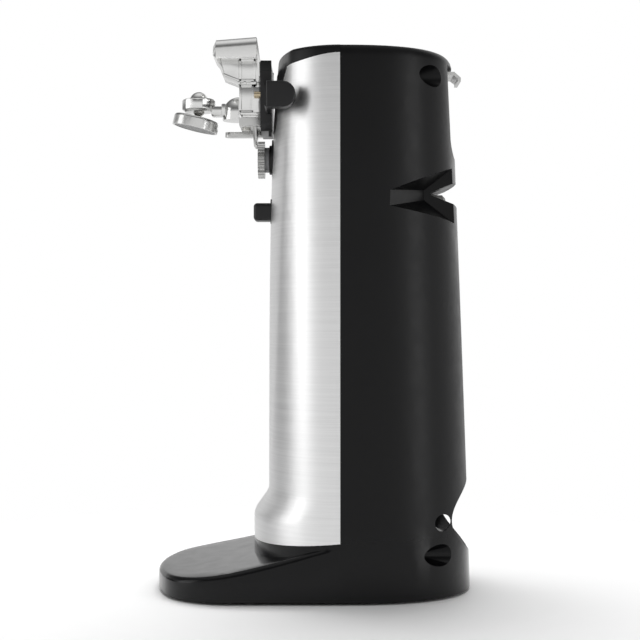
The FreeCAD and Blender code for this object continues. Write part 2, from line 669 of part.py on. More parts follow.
ROTOR_TO_A = facing(0, MOTOR_Z, IDLER_A_X, IDLER_A_Z)
A_TO_B = facing(IDLER_A_X, IDLER_A_Z, IDLER_B_X, IDLER_B_Z)
B_TO_DRIVE = facing(IDLER_B_X, IDLER_B_Z, 0, DRIVE_Z)


def motor_pinion():
    return gear(0, MOTOR_Z, FIRST_Y, GEAR_WIDTH, FIRST_MODULE, PINION_TEETH, ROTOR_TO_A,
                FIRST_BORE)


def idler_gear_a():
    """Large first-stage gear and the small second-stage pinion in front of it."""
    large = gear(IDLER_A_X, IDLER_A_Z, FIRST_Y, GEAR_WIDTH, FIRST_MODULE, FIRST_TEETH,
                 ROTOR_TO_A + 180 + 180 / FIRST_TEETH, AXLE_RADIUS + RUN_GAP)
    small = gear(IDLER_A_X, IDLER_A_Z, SECOND_Y, FIRST_Y - SECOND_Y, SECOND_MODULE, PINION_TEETH,
                 A_TO_B, AXLE_RADIUS + RUN_GAP)
    return join([large, small])


def idler_gear_b():
    """Large second-stage gear and the small third-stage pinion in front of it."""
    large = gear(IDLER_B_X, IDLER_B_Z, SECOND_Y, GEAR_WIDTH, SECOND_MODULE, SECOND_TEETH,
                 A_TO_B + 180 + 180 / SECOND_TEETH, AXLE_RADIUS + RUN_GAP)
    small = gear(IDLER_B_X, IDLER_B_Z, THIRD_Y, SECOND_Y - THIRD_Y, THIRD_MODULE, PINION_TEETH,
                 B_TO_DRIVE, AXLE_RADIUS + RUN_GAP)
    return join([large, small])


def output_gear():
    return gear(0, DRIVE_Z, THIRD_Y, GEAR_WIDTH, THIRD_MODULE, THIRD_TEETH,
                B_TO_DRIVE + 180 + 180 / THIRD_TEETH, DRIVE_SHAFT_RADIUS)


def idler_axle(x, z):
    """Steel pin across both gearbox plates."""
    return rod_y(x, z, AXLE_RADIUS, GEARBOX_FRONT_Y - PLATE_THICKNESS, REAR_PLATE_Y + PLATE_THICKNESS)


def idler_axles():
    return Part.makeCompound([idler_axle(IDLER_A_X, IDLER_A_Z), idler_axle(IDLER_B_X, IDLER_B_Z)])


def gearbox_plate(y, with_motor_hole):
    """Steel plate that carries the axles; both plates share this outline."""
    half = POST_X + 5
    plate = box(-half, half, y, y + PLATE_THICKNESS, POST_LOW_Z - 5, POST_HIGH_Z + 5)
    plate = round_edges(plate, 5, lambda c, e: abs(c.x) > half - 1 and e.BoundBox.YLength > 1)
    for x, z in POSTS:
        plate = plate.cut(rod_y(x, z, SCREW_RADIUS, y - 1, y + 9))
    for x, z in ((IDLER_A_X, IDLER_A_Z), (IDLER_B_X, IDLER_B_Z)):
        plate = plate.cut(rod_y(x, z, AXLE_RADIUS, y - 1, y + 9))
    plate = plate.cut(rod_y(0, DRIVE_Z, DRIVE_SHAFT_RADIUS + RUN_GAP, y - 1, y + 9))
    if with_motor_hole:
        plate = plate.cut(rod_y(0, MOTOR_Z, BEARING_RADIUS + FIT_GAP, y - 1, y + 9))
    return plate


def gearbox_front_plate():
    return gearbox_plate(GEARBOX_FRONT_Y - PLATE_THICKNESS, False)


def gearbox_rear_plate():
    return gearbox_plate(REAR_PLATE_Y, True)


def plate_spacers():
    tubes = []
    for x, z in POSTS:
        tube = rod_y(x, z, POST_RADIUS, GEARBOX_FRONT_Y, REAR_PLATE_Y)
        tubes.append(tube.cut(rod_y(x, z, SCREW_RADIUS, GEARBOX_FRONT_Y - 1, REAR_PLATE_Y + 1)))
    return Part.makeCompound(tubes)


def gearbox_screws():
    """Long screws through both plates and the spacers into the front bosses."""
    back = REAR_PLATE_Y + PLATE_THICKNESS
    screws = []
    for x, z in POSTS:
        shank = rod_y(x, z, SCREW_RADIUS - RUN_GAP, -9.5, back)
        screws.append(join([shank, rod_y(x, z, 3.0, back, back + 2)]))
    return Part.makeCompound(screws)


def drive_shaft():
    """Steel shaft from the rear plate out to the feed gear."""
    return rod_y(0, DRIVE_Z, DRIVE_SHAFT_RADIUS, DRIVE_GEAR_FRONT_Y + 0.4, REAR_PLATE_Y + PLATE_THICKNESS + 1)


def drive_gear():
    """Hardened feed gear that grips under the rim of the can."""
    teeth = 32
    profile = []
    for step in range(2 * teeth):
        radius = DRIVE_GEAR_RADIUS - (0.85 if step % 2 else 0)
        for turn in (-0.16, 0.16):
            profile.append((radius, math.pi * (step + turn) / teeth))
    outline = [(r * math.cos(a), DRIVE_Z + r * math.sin(a)) for r, a in profile]
    disc = prism_y(outline, DRIVE_GEAR_FRONT_Y, DRIVE_GEAR_FRONT_Y + DRIVE_GEAR_WIDTH)
    dish = rod_y(0, DRIVE_Z, 5.6, DRIVE_GEAR_FRONT_Y - 1, DRIVE_GEAR_FRONT_Y + 0.5)
    return disc.cut(dish).cut(rod_y(0, DRIVE_Z, DRIVE_SHAFT_RADIUS, -40, 0))


def drive_collar():
    return rod_y(0, DRIVE_Z, 6.0, COLLAR_Y, WASHER_Y).cut(rod_y(0, DRIVE_Z, DRIVE_SHAFT_RADIUS, -40, 0))


def drive_washer():
    washer = rod_y(0, DRIVE_Z, 7.0, WASHER_Y, WASHER_Y + 2.4)
    return washer.cut(rod_y(0, DRIVE_Z, DRIVE_SHAFT_RADIUS, -40, 0))


def drive_bush():
    """Fixed bush in the front housing; the washer runs in its open mouth."""
    bush = rod_y(0, DRIVE_Z, BUSH_RADIUS, -20.3, -11)
    mouth = rod_y(0, DRIVE_Z, 7.0 + FREE_GAP, -30, WASHER_Y + 2.4 + FREE_GAP)
    return bush.cut(mouth).cut(rod_y(0, DRIVE_Z, DRIVE_SHAFT_RADIUS + RUN_GAP, -30, 0))


# ---- motor ---------------------------------------------------------------


def motor_stator():
    """Laminated stack with the rotor bore above and the coil limb below."""
    half = STACK_HALF_WIDTH
    back = STACK_Y + STACK_DEPTH
    stack = box(-half, half, STACK_Y, back, STACK_LOW_Z, STACK_HIGH_Z)
    stack = stack.cut(box(-half + 10, half - 10, 0, 99, STACK_LOW_Z + LIMB_HEIGHT, MOTOR_Z - 21))
    stack = stack.cut(rod_y(0, MOTOR_Z, ROTOR_RADIUS + 0.5, 0, 99))
    for x, z in MOTOR_SCREWS:
        stack = stack.cut(rod_y(x, z, SCREW_RADIUS, 0, 99))
    return stack


def shading_rings():
    """Copper rings through opposite pole corners of the stack."""
    rings = []
    for side in (-1, 1):
        x = side * 17.6
        z = MOTOR_Z - side * 3.0
        outside = box(x - 2.4, x + 2.4, STACK_Y - 1.5, STACK_Y, z - 5, z + 5)
        rings.append(outside.cut(box(x - 0.9, x + 0.9, 0, 99, z - 3.5, z + 3.5)))
        rings[-1] = rings[-1].cut(rod_y(0, MOTOR_Z, ROTOR_RADIUS + 0.9, 0, 99))
    return Part.makeCompound(rings)


def limb(grow, x0, x1):
    return box(x0, x1, STACK_Y - grow, STACK_Y + STACK_DEPTH + grow,
               STACK_LOW_Z - grow, STACK_LOW_Z + LIMB_HEIGHT + grow)


def coil_bobbin():
    """Moulded former round the limb, with a cheek at each end."""
    tube = limb(1.4, -14.4, 14.4)
    cheeks = [limb(6.5, -14.4, -13.0), limb(6.5, 13.0, 14.4)]
    return join([tube] + cheeks).cut(limb(0.1, -30, 30))


def coil_winding():
    wound = round_edges(limb(5.4, -12.9, 12.9), 3, lambda c, e: e.BoundBox.XLength > 9)
    return wound.cut(limb(1.5, -30, 30))


def motor_bracket(face, reach, bar):
    """Strap across the stack: legs from `face` out to `reach`, bar out to `bar`."""
    half = BRACKET_HALF_WIDTH
    y0, y1 = sorted((reach, bar))
    strap = box(-half, half, y0, y1, MOTOR_Z - BRACKET_HALF_HEIGHT, MOTOR_Z + BRACKET_HALF_HEIGHT)
    y0, y1 = sorted((face, reach))
    legs = [box(*sorted((side * 16.2, side * half)), y0, y1, MOTOR_Z - BRACKET_HALF_HEIGHT,
                MOTOR_Z + BRACKET_HALF_HEIGHT) for side in (-1, 1)]
    shape = join([strap] + legs)
    shape = shape.cut(rod_y(0, MOTOR_Z, BEARING_RADIUS, 0, 99))
    for side in (-1, 1):
        shape = shape.cut(box(*sorted((side * 15, side * 21)), STACK_Y - 2, STACK_Y + 0.1,
                              MOTOR_Z - 9, MOTOR_Z + 9))
    for x, z in MOTOR_SCREWS:
        shape = shape.cut(rod_y(x, z, SCREW_RADIUS, 0, 99))
    return shape


def motor_bracket_front():
    return motor_bracket(STACK_Y, BRACKET_Y + 2, BRACKET_Y)


def motor_bracket_rear():
    return motor_bracket(STACK_BACK_Y, MOTOR_BACK_Y - 2, MOTOR_BACK_Y)


def motor_bearing(y0, y1):
    bush = rod_y(0, MOTOR_Z, BEARING_RADIUS, y0, y1)
    return bush.cut(rod_y(0, MOTOR_Z, MOTOR_SHAFT_RADIUS + RUN_GAP, y0 - 1, y1 + 1))


def motor_bearings():
    front = motor_bearing(REAR_PLATE_Y + 0.4, BRACKET_Y + 4)
    return Part.makeCompound([front, motor_bearing(STACK_BACK_Y + 1.4, MOTOR_BACK_Y)])


def motor_screws():
    back = MOTOR_BACK_Y
    screws = []
    for x, z in MOTOR_SCREWS:
        shank = rod_y(x, z, SCREW_RADIUS - RUN_GAP, BRACKET_Y, back)
        screws.append(join([shank, rod_y(x, z, 2.9, back, back + 1.6)]))
    return Part.makeCompound(screws)


def motor_rotor():
    """Squirrel-cage rotor between its two end rings."""
    body = rod_y(0, MOTOR_Z, ROTOR_RADIUS, STACK_Y + 0.5, STACK_BACK_Y - 0.5)
    return body.cut(rod_y(0, MOTOR_Z, MOTOR_SHAFT_RADIUS, 0, 99))


def motor_shaft():
    """Stepped shaft: the pinion in front, the grinding wheel behind."""
    thin = rod_y(0, MOTOR_Z, FIRST_BORE, FIRST_Y - 0.3, FIRST_Y + GEAR_WIDTH + 0.2)
    thick = rod_y(0, MOTOR_Z, MOTOR_SHAFT_RADIUS, FIRST_Y + GEAR_WIDTH + 0.2, WHEEL_NUT_Y + 2.4)
    return join([thin, thick])


def grinding_wheel():
    """Pale stone with a bevelled rim, for knives."""
    disc = rod_y(0, MOTOR_Z, WHEEL_RADIUS, WHEEL_FRONT_Y, WHEEL_NUT_Y)
    disc = disc.makeChamfer(1.2, [e for e in disc.Edges if e.BoundBox.XLength > 9
                                  and e.BoundBox.YLength < 0.1])
    return disc.cut(rod_y(0, MOTOR_Z, MOTOR_SHAFT_RADIUS, 0, 99))


def wheel_nut():
    flats = [math.radians(60 * k) for k in range(6)]
    outline = [(3.9 * math.cos(a), MOTOR_Z + 3.9 * math.sin(a)) for a in flats]
    nut = prism_y(outline, WHEEL_NUT_Y, WHEEL_NUT_Y + 2.2)
    return nut.cut(rod_y(0, MOTOR_Z, MOTOR_SHAFT_RADIUS, 0, 99))


# ---- lever, moves about the pivot pin ------------------------------------

def lever_carrier():
    """Black moulded lever: a plate over the pivot, an arm and a D-shaped grip end."""
    front, rear = CARRIER_FRONT_Y, CARRIER_REAR_Y
    outline = [(-23, CARRIER_LOW_Z + 6), (-23, over(37)), (-17, CARRIER_TOP_Z), (12, CARRIER_TOP_Z)]
    outline += [(17, over(40)), (17, CARRIER_LOW_Z + 3), (14, CARRIER_LOW_Z), (-17, CARRIER_LOW_Z)]
    plate = prism_y(outline, front, rear)
    notch = box(-2.5, 6.5, front - 1, front + 2.6, CARRIER_TOP_Z - 3.4, CARRIER_TOP_Z + 1)
    arm = box(15, ARM_END_X, ARM_FRONT_Y, rear, GRIP_MIDDLE_Z - 5.1, GRIP_MIDDLE_Z + 5.1)
    arm = round_edges(arm, 1.0, lambda c, e: e.BoundBox.XLength > 9)
    prongs = [box(x, x + 3.5, front, rear, CARRIER_TOP_Z - 4, CARRIER_TOP_Z + 1.9) for x in (-20, 13)]
    spike = box(10, 13, -21.6, rear, CARRIER_LOW_Z - 2.4, CARRIER_LOW_Z + 1)
    shape = join([plate, arm, grip_end(), spike] + prongs).cut(notch)
    shape = shape.cut(cutter_pin())
    return shape.cut(rod_y(PIVOT_X, PIVOT_Z, PIVOT_RADIUS, -40, 0))


def grip_end():
    """Flat in front and half round behind, seen from the end."""
    low, high = GRIP_MIDDLE_Z - GRIP_RADIUS, GRIP_MIDDLE_Z + GRIP_RADIUS
    flat = box(ARM_END_X - 2, GRIP_END_X, -21.5, -14.2, low, high)
    round_part = rod_x(-14.2, GRIP_MIDDLE_Z, GRIP_RADIUS, ARM_END_X - 2, GRIP_END_X)
    shape = join([flat, round_part])
    return round_edges(shape, 0.9, lambda c, e: c.x > GRIP_END_X - 0.1)


def pivot_pin():
    """Steel pin with a flat head, through the lever and the bay into the housing."""
    pin = rod_y(PIVOT_X, PIVOT_Z, PIVOT_RADIUS, CARRIER_FRONT_Y, PIVOT_INNER_Y)
    return join([pin, rod_y(PIVOT_X, PIVOT_Z, 3.4, CARRIER_FRONT_Y - 1.4, CARRIER_FRONT_Y)])


def switch_cam():
    """Arm on the inner end of the pivot pin; it lets the switch plunger rise."""
    hub = rod_y(PIVOT_X, PIVOT_Z, 4.2, CAM_FRONT_Y, CAM_REAR_Y)
    arm = box(PIVOT_X, PIVOT_X + CAM_REACH, CAM_FRONT_Y, CAM_REAR_Y,
              PIVOT_Z - CAM_HALF_HEIGHT, PIVOT_Z + CAM_HALF_HEIGHT)
    return join([hub, arm]).cut(rod_y(PIVOT_X, PIVOT_Z, PIVOT_RADIUS, -40, 0))


def thumb_block():
    """Rounded bar that the thumb presses, with a bevelled front end."""
    end = CARRIER_FRONT_Y - 1.9
    side = [(-47.9, over(47)), (-47.9, over(53.4)), (-46.2, over(55.4)), (end, over(56.8))]
    side += [(end, over(46)), (-46.6, over(46))]
    block = prism_x(side, -13, 17)
    return round_edges(block, 2.4, lambda c, e: e.BoundBox.XLength < 1 and c.z > over(54))


def cutter_frame():
    """Bright die-cast frame: thumb block on top, columns, hood and ledge below it."""
    web = prism_x([(-46.0, over(46.3)), (-43.4, over(39.1)), (-35.4, over(35.6)), (-35.0, over(46.3))], -9, 13)
    upper = box(-9, 13, -35.6, -27.6, over(35.5), over(46.4))
    panel = box(12.4, 14, -34.0, -29.0, over(37.4), over(44.6))
    band = box(-9, 12.6, -35.9, -27.4, over(34.3), over(36.1))
    lower = box(-7, 11.6, -35.6, -28.7, over(21.4), over(35.0))
    recess = box(11.0, 13, -34.4, -29.9, over(23.6), over(33.0))
    slots = [box(11.2, 13, y, y + 1.7, over(34.7), over(35.6)) for y in (-35.1, -32.0)]
    rear = box(-11, 12.8, -29.0, CARRIER_FRONT_Y, over(21.4), over(46.4))
    gap = box(9, 14, -28.6, -26.0, over(33.4), over(36.3))
    cheek = prism_x([(-28.8, over(54.5)), (-27.2, over(56.0)), (CARRIER_FRONT_Y, over(38.0)),
                     (-27.4, over(38.0))], 12, 14)
    ledge = box(-9, 12, -34.2, CARRIER_FRONT_Y, LEDGE_LOW_Z, over(22.0))
    hood = join([rod_z(0, HOOD_Y, HOOD_RADIUS, LEDGE_LOW_Z, HOOD_Z),
                 Part.makeSphere(HOOD_RADIUS, vec(0, HOOD_Y, HOOD_Z))])
    shape = join([thumb_block(), web, upper, lower, band, rear, ledge, hood, cheek])
    for hollow in [panel, recess, gap, cutter_pin()] + slots:
        shape = shape.cut(hollow)
    shape = shape.cut(box(-8, -1.4, -45.6, -36.4, over(39.5), over(44.5)))
    return shape.cut(rod_y(PIVOT_X, PIVOT_Z, 3.6, -40, 0))


def cutter_pin():
    """Small steel pin that locks the bright frame on the black lever."""
    return rod_y(13.4, over(29.5), 1.5, -28.4, ARM_FRONT_Y)


def blade_holder():
    """Ground steel block under the ledge."""
    block = box(-15, 12, -35.6, CARRIER_FRONT_Y, over(14.8), LEDGE_LOW_Z)
    return round_edges(block, 0.8, lambda c, e: c.z < over(14.9))


def rim_guide():
    """Flat bar that rides on the rim of the can, left of the blade."""
    bar = box(-15, -8.5, -43.7, CARRIER_FRONT_Y, over(12.5), over(14.8))
    return round_edges(bar, 3.0, lambda c, e: c.y < -43.6 and e.BoundBox.ZLength > 1)


def cutting_blade():
    """Half-round blade, bevelled in front, that pierces beside the rim."""
    top = over(14.8)
    low = rod_y(BLADE_X, top, BLADE_RADIUS, BLADE_FRONT_Y, BLADE_REAR_Y)
    bevel = Part.makeCone(BLADE_RADIUS - 1.2, BLADE_RADIUS, 0.9, vec(BLADE_X, BLADE_FRONT_Y, top), Y_AXIS)
    core = rod_y(BLADE_X, top, BLADE_RADIUS, BLADE_FRONT_Y + 0.9, BLADE_REAR_Y)
    disc = join([bevel, core]).common(low)
    return disc.common(box(-7.4, 11.4, -40, 0, 190, top))


def blade_screw():
    """Flat screw that holds the blade holder up against the ledge."""
    head = rod_z(4, -32.5, 2.0, over(13.7), over(14.8))
    return head.cut(box(3.7, 4.3, -35, -30, over(13.1), over(14.2)))


def magnet_arm():
    """Bright arm from the hood that ends in a domed socket over the magnet."""
    arm = box(-3.4, 3.4, -49.5, HOOD_Y, over(20.9), over(25.5))
    arm = round_edges(arm, 1.6, lambda c, e: e.BoundBox.YLength > 5)
    neck = rod_z(0, MAGNET_Y, 8.1, over(25.3), over(28.9))
    skirt = Part.makeCone(4.4, 8.1, 2.6, vec(0, MAGNET_Y, over(22.7)), Z_AXIS)
    dome = Part.makeSphere(4.7, vec(0, MAGNET_Y, over(28.3)))
    hood = join([rod_z(0, HOOD_Y, HOOD_RADIUS + FIT_GAP, over(16.1), HOOD_Z),
                 Part.makeSphere(HOOD_RADIUS + FIT_GAP, vec(0, HOOD_Y, HOOD_Z))])
    shape = join([neck, skirt, dome, arm]).cut(hood)
    shape = shape.cut(Part.makeSphere(BALL_RADIUS + 0.15, vec(0, MAGNET_Y, MAGNET_BALL_Z)))
    return shape.cut(Part.makeCone(3.4, 2.0, 1.6, vec(0, MAGNET_Y, over(22.1)), Z_AXIS))


# ---- magnet, swivels on its ball -----------------------------------------


def tilt(shape):
    shape.rotate(vec(0, MAGNET_Y, MAGNET_BALL_Z), X_AXIS, -MAGNET_TILT)
    return shape


def magnet_stud():
    stud = rod_z(0, MAGNET_Y, 1.35, MAGNET_BALL_Z - DISC_TOP - 0.9, MAGNET_BALL_Z)
    return tilt(join([stud, Part.makeSphere(BALL_RADIUS, vec(0, MAGNET_Y, MAGNET_BALL_Z))]))


def magnet_cup():
    """Pressed steel cup, open below, with a softly rounded upper rim."""
    top = MAGNET_BALL_Z - DISC_TOP
    cup = rod_z(0, MAGNET_Y, MAGNET_RADIUS, top - MAGNET_HEIGHT, top)
    cup = round_edges(cup, 1.3, lambda c, e: c.z > top - 0.1)
    cup = cup.cut(rod_z(0, MAGNET_Y, MAGNET_RADIUS - 1.0, top - MAGNET_HEIGHT - 1, top - 0.9))
    return tilt(cup.cut(rod_z(0, MAGNET_Y, 1.35, top - 2, top + 1)))


def can_magnet():
    low = MAGNET_BALL_Z - DISC_TOP - MAGNET_HEIGHT
    return tilt(rod_z(0, MAGNET_Y, MAGNET_RADIUS - 1.1, low + 0.3, low + MAGNET_HEIGHT - 0.9))


# ---- switch --------------------------------------------------------------


def switch_body():
    block = box(*SWITCH_BOX)
    y = (CAM_FRONT_Y + CAM_REAR_Y) / 2
    well = rod_z(PLUNGER_X, y, 1.6, SWITCH_BOX[5] - 8, SWITCH_BOX[5] + 1)
    block = round_edges(block, 0.8, lambda c, e: e.BoundBox.ZLength > 9)
    return block.cut(well)


def switch_plunger():
    """Sprung button of the switch, held down while the lever is down."""
    y = (CAM_FRONT_Y + CAM_REAR_Y) / 2
    top = PIVOT_Z - CAM_HALF_HEIGHT - 0.3
    stem = rod_z(PLUNGER_X, y, 1.5, SWITCH_BOX[5] - 4, top - 1.0)
    tip = Part.makeCone(1.5, 0.9, 1.0, vec(PLUNGER_X, y, top - 1.0), Z_AXIS)
    return join([stem, tip])


def switch_terminals():
    x0 = SWITCH_BOX[0]
    low = SWITCH_BOX[4]
    tabs = [box(x, x + 0.8, WALL - 14.9, WALL - 11.3, low - 4, low) for x in (x0 + 2, x0 + 6)]
    return Part.makeCompound(tabs)


PIECES = [
    front_housing, rear_housing, front_panel, lever_bay, can_guide, bottom_cover, rubber_feet,
    housing_screws, bottle_opener, opener_screw, knife_guide, gearbox_front_plate,
    gearbox_rear_plate, plate_spacers, gearbox_screws, idler_axles, drive_bush, motor_stator,
    shading_rings, coil_bobbin, coil_winding, motor_bracket_front, motor_bracket_rear,
    motor_bearings, motor_screws, switch_body, switch_terminals,
    drive_shaft, drive_gear, drive_collar, drive_washer, output_gear,
    idler_gear_a, idler_gear_b, motor_rotor, motor_shaft, motor_pinion, grinding_wheel, wheel_nut,
    lever_carrier, pivot_pin, switch_cam, cutter_frame, cutter_pin, blade_holder, rim_guide,
    cutting_blade, blade_screw, magnet_arm, magnet_stud, magnet_cup, can_magnet, switch_plunger,
]


def main():
    os.makedirs("parts", exist_ok=True)
    for piece in PIECES:
        shape = piece()
        shape.exportStep("parts/" + piece.__name__ + ".step")
        print(piece.__name__, len(shape.Solids), round(shape.Volume, 1))


main()
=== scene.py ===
import json
import math

import bmesh
import bpy
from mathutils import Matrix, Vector


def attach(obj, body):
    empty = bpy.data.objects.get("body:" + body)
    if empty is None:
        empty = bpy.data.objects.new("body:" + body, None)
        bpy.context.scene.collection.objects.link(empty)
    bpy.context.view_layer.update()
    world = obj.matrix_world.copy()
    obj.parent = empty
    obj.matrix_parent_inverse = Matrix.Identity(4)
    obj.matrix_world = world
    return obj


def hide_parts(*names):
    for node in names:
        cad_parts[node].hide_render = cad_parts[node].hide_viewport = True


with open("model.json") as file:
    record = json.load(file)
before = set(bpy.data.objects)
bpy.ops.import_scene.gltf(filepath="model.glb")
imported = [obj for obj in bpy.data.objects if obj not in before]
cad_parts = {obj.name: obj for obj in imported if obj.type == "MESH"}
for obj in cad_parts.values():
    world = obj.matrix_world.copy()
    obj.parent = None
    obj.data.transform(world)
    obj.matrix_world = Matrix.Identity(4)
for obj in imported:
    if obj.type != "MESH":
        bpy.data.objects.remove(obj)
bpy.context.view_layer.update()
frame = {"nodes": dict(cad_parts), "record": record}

MM = 0.001
NODES = frame["nodes"]
SLOT_OF = {part["node"]: part["material_slot"] for part in frame["record"]["subparts"]}
FINISH_OF = {entry["slot"]: entry for entry in frame["record"]["materials"]}

# ---- studio --------------------------------------------------------------

CAMERA_DISTANCE = 0.675
CAMERA_Y = 0.0027
CAMERA_HEIGHT = 0.1269
LENS = 78.75         # millimetres, as the sensor's width
SENSOR_WIDTH = 36

LIT_POINT = (0, 0, 0.12)     # metres; every lamp looks at it
KEY_PLACE = (-0.50, -0.12, 1.15)

# What reflections see of the surroundings: (height, brightness), from straight down
# at 0 to straight up at 1.
MIRRORED_SKY = ((0.0, 0.50), (0.40, 0.74), (0.61, 0.84), (0.67, 0.36), (0.76, 0.10), (0.88, 0.26), (1.0, 0.80))
CARD_DIRECTION = (-0.50, -0.866, 0)
CARD_START, CARD_FULL = 0.93, 0.985     # cosine of the angle from the card's direction
CARD_SHADE = 0.22

FLOOR_HALF = 4.0
FLOOR_FADE_START, FLOOR_FADE_END = 0.10, 0.30


def add_camera():
    data = bpy.data.cameras.new("camera")
    data.lens = LENS
    data.sensor_width = SENSOR_WIDTH
    camera = bpy.data.objects.new("camera", data)
    bpy.context.scene.collection.objects.link(camera)
    camera.location = (CAMERA_DISTANCE, CAMERA_Y, CAMERA_HEIGHT)
    camera.rotation_euler = (math.radians(90), 0, math.radians(90))
    bpy.context.scene.camera = camera


def add_area(name, place, target, width, height, power):
    data = bpy.data.lights.new(name, "AREA")
    data.shape = "RECTANGLE"
    data.size = width
    data.size_y = height
    data.energy = power
    lamp = bpy.data.objects.new(name, data)
    bpy.context.scene.collection.objects.link(lamp)
    lamp.location = place
    lamp.rotation_euler = (Vector(target) - Vector(place)).to_track_quat("-Z", "Y").to_euler()
    return lamp


def add_lights():
    key = add_area("key_top", KEY_PLACE, LIT_POINT, 0.9, 0.9, 11.5)
    key.visible_glossy = False
    add_area("fill_side", (0.22, -1.35, 0.45), LIT_POINT, 0.7, 1.1, 2.9)
    add_area("rear_strip", (0.75, 1.15, 0.35), LIT_POINT, 0.35, 1.2, 3.4)
    add_area("back_side", (-0.9, 0.5, 0.7), LIT_POINT, 0.8, 1.1, 2.0)


def set_world():
    """Dim grey light all round, a graded sky for reflections, plain white for the camera."""
    world = bpy.data.worlds.new("studio")
    world.use_nodes = True
    bpy.context.scene.world = world
    nodes, links = world.node_tree.nodes, world.node_tree.links
    nodes.clear()
    out = nodes.new("ShaderNodeOutputWorld")
    soft = nodes.new("ShaderNodeBackground")
    soft.inputs["Color"].default_value = (0.5, 0.5, 0.5, 1)
    soft.inputs["Strength"].default_value = 0.8
    white = nodes.new("ShaderNodeBackground")
    white.inputs["Color"].default_value = (1, 1, 1, 1)
    place = nodes.new("ShaderNodeTexCoord")
    split = nodes.new("ShaderNodeSeparateXYZ")
    links.new(place.outputs["Generated"], split.inputs["Vector"])
    ramp = nodes.new("ShaderNodeValToRGB")
    fill_ramp(ramp, [(at, (v, v, v, 1)) for at, v in MIRRORED_SKY])
    links.new(split.outputs["Z"], half_and_half(nodes, links, ramp.inputs["Fac"]))
    mirrored = nodes.new("ShaderNodeBackground")
    links.new(ramp.outputs["Color"], mirrored.inputs["Color"])
    links.new(dark_card(nodes, links, place), mirrored.inputs["Strength"])
    path = nodes.new("ShaderNodeLightPath")
    glossy = nodes.new("ShaderNodeMixShader")
    links.new(path.outputs["Is Glossy Ray"], glossy.inputs["Fac"])
    links.new(soft.outputs[0], glossy.inputs[1])
    links.new(mirrored.outputs[0], glossy.inputs[2])
    seen = nodes.new("ShaderNodeMath")
    seen.operation = "MAXIMUM"
    links.new(path.outputs["Is Camera Ray"], seen.inputs[0])
    links.new(path.outputs["Is Transmission Ray"], seen.inputs[1])
    final = nodes.new("ShaderNodeMixShader")
    links.new(seen.outputs[0], final.inputs["Fac"])
    links.new(glossy.outputs[0], final.inputs[1])
    links.new(white.outputs[0], final.inputs[2])
    links.new(final.outputs[0], out.inputs["Surface"])


def dark_card(nodes, links, place):
    """An upright dark card beyond the front, which draws the crease of the wrap."""
    toward = nodes.new("ShaderNodeVectorMath")
    toward.operation = "DOT_PRODUCT"
    toward.inputs[1].default_value = CARD_DIRECTION
    links.new(place.outputs["Generated"], toward.inputs[0])
    shade = nodes.new("ShaderNodeMapRange")
    shade.inputs["From Min"].default_value = CARD_START
    shade.inputs["From Max"].default_value = CARD_FULL
    shade.inputs["To Min"].default_value = 1.0
    shade.inputs["To Max"].default_value = CARD_SHADE
    links.new(toward.outputs["Value"], shade.inputs["Value"])
    return shade.outputs["Result"]


def half_and_half(nodes, links, target):
    """A node that maps -1..1 to 0..1 on its way to the target; returns its input."""
    scale = nodes.new("ShaderNodeMapRange")
    scale.inputs["From Min"].default_value = -1
    scale.inputs["From Max"].default_value = 1
    links.new(scale.outputs["Result"], target)
    return scale.inputs["Value"]


def fill_ramp(ramp, stops):
    elements = ramp.color_ramp.elements
    while len(elements) < len(stops):
        elements.new(0.5)
    for element, (at, colour) in zip(elements, stops):
        element.position = at
        element.color = colour


def add_floor():
    mesh = bpy.data.meshes.new("floor")
    half = FLOOR_HALF
    corners = [(-half, -half, 0), (half, -half, 0), (half, half, 0), (-half, half, 0)]
    mesh.from_pydata(corners, [], [(0, 1, 2, 3)])
    floor = bpy.data.objects.new("floor", mesh)
    bpy.context.scene.collection.objects.link(floor)
    material = Material("floor_white")
    material.shader.inputs["Base Color"].default_value = (1, 1, 1, 1)
    material.shader.inputs["Roughness"].default_value = 0.9
    material.shader.inputs["Specular IOR Level"].default_value = 0.0
    mesh.materials.append(material.data)
    fade_out(material, FLOOR_FADE_START, FLOOR_FADE_END)


def fade_out(material, start, end):
    """Let the floor melt into the white surroundings away from the shadow."""
    nodes, links = material.nodes, material.links
    length = nodes.new("ShaderNodeVectorMath")
    length.operation = "LENGTH"
    links.new(material.place.outputs["Object"], length.inputs[0])
    fade = nodes.new("ShaderNodeMapRange")
    fade.interpolation_type = "SMOOTHSTEP"
    fade.inputs["From Min"].default_value = start
    fade.inputs["From Max"].default_value = end
    links.new(length.outputs["Value"], fade.inputs["Value"])
    clear = nodes.new("ShaderNodeBsdfTransparent")
    mix = nodes.new("ShaderNodeMixShader")
    links.new(fade.outputs["Result"], mix.inputs["Fac"])
    links.new(material.shader.outputs[0], mix.inputs[1])
    links.new(clear.outputs[0], mix.inputs[2])
    links.new(mix.outputs[0], nodes["Material Output"].inputs["Surface"])


# ---- materials -----------------------------------------------------------

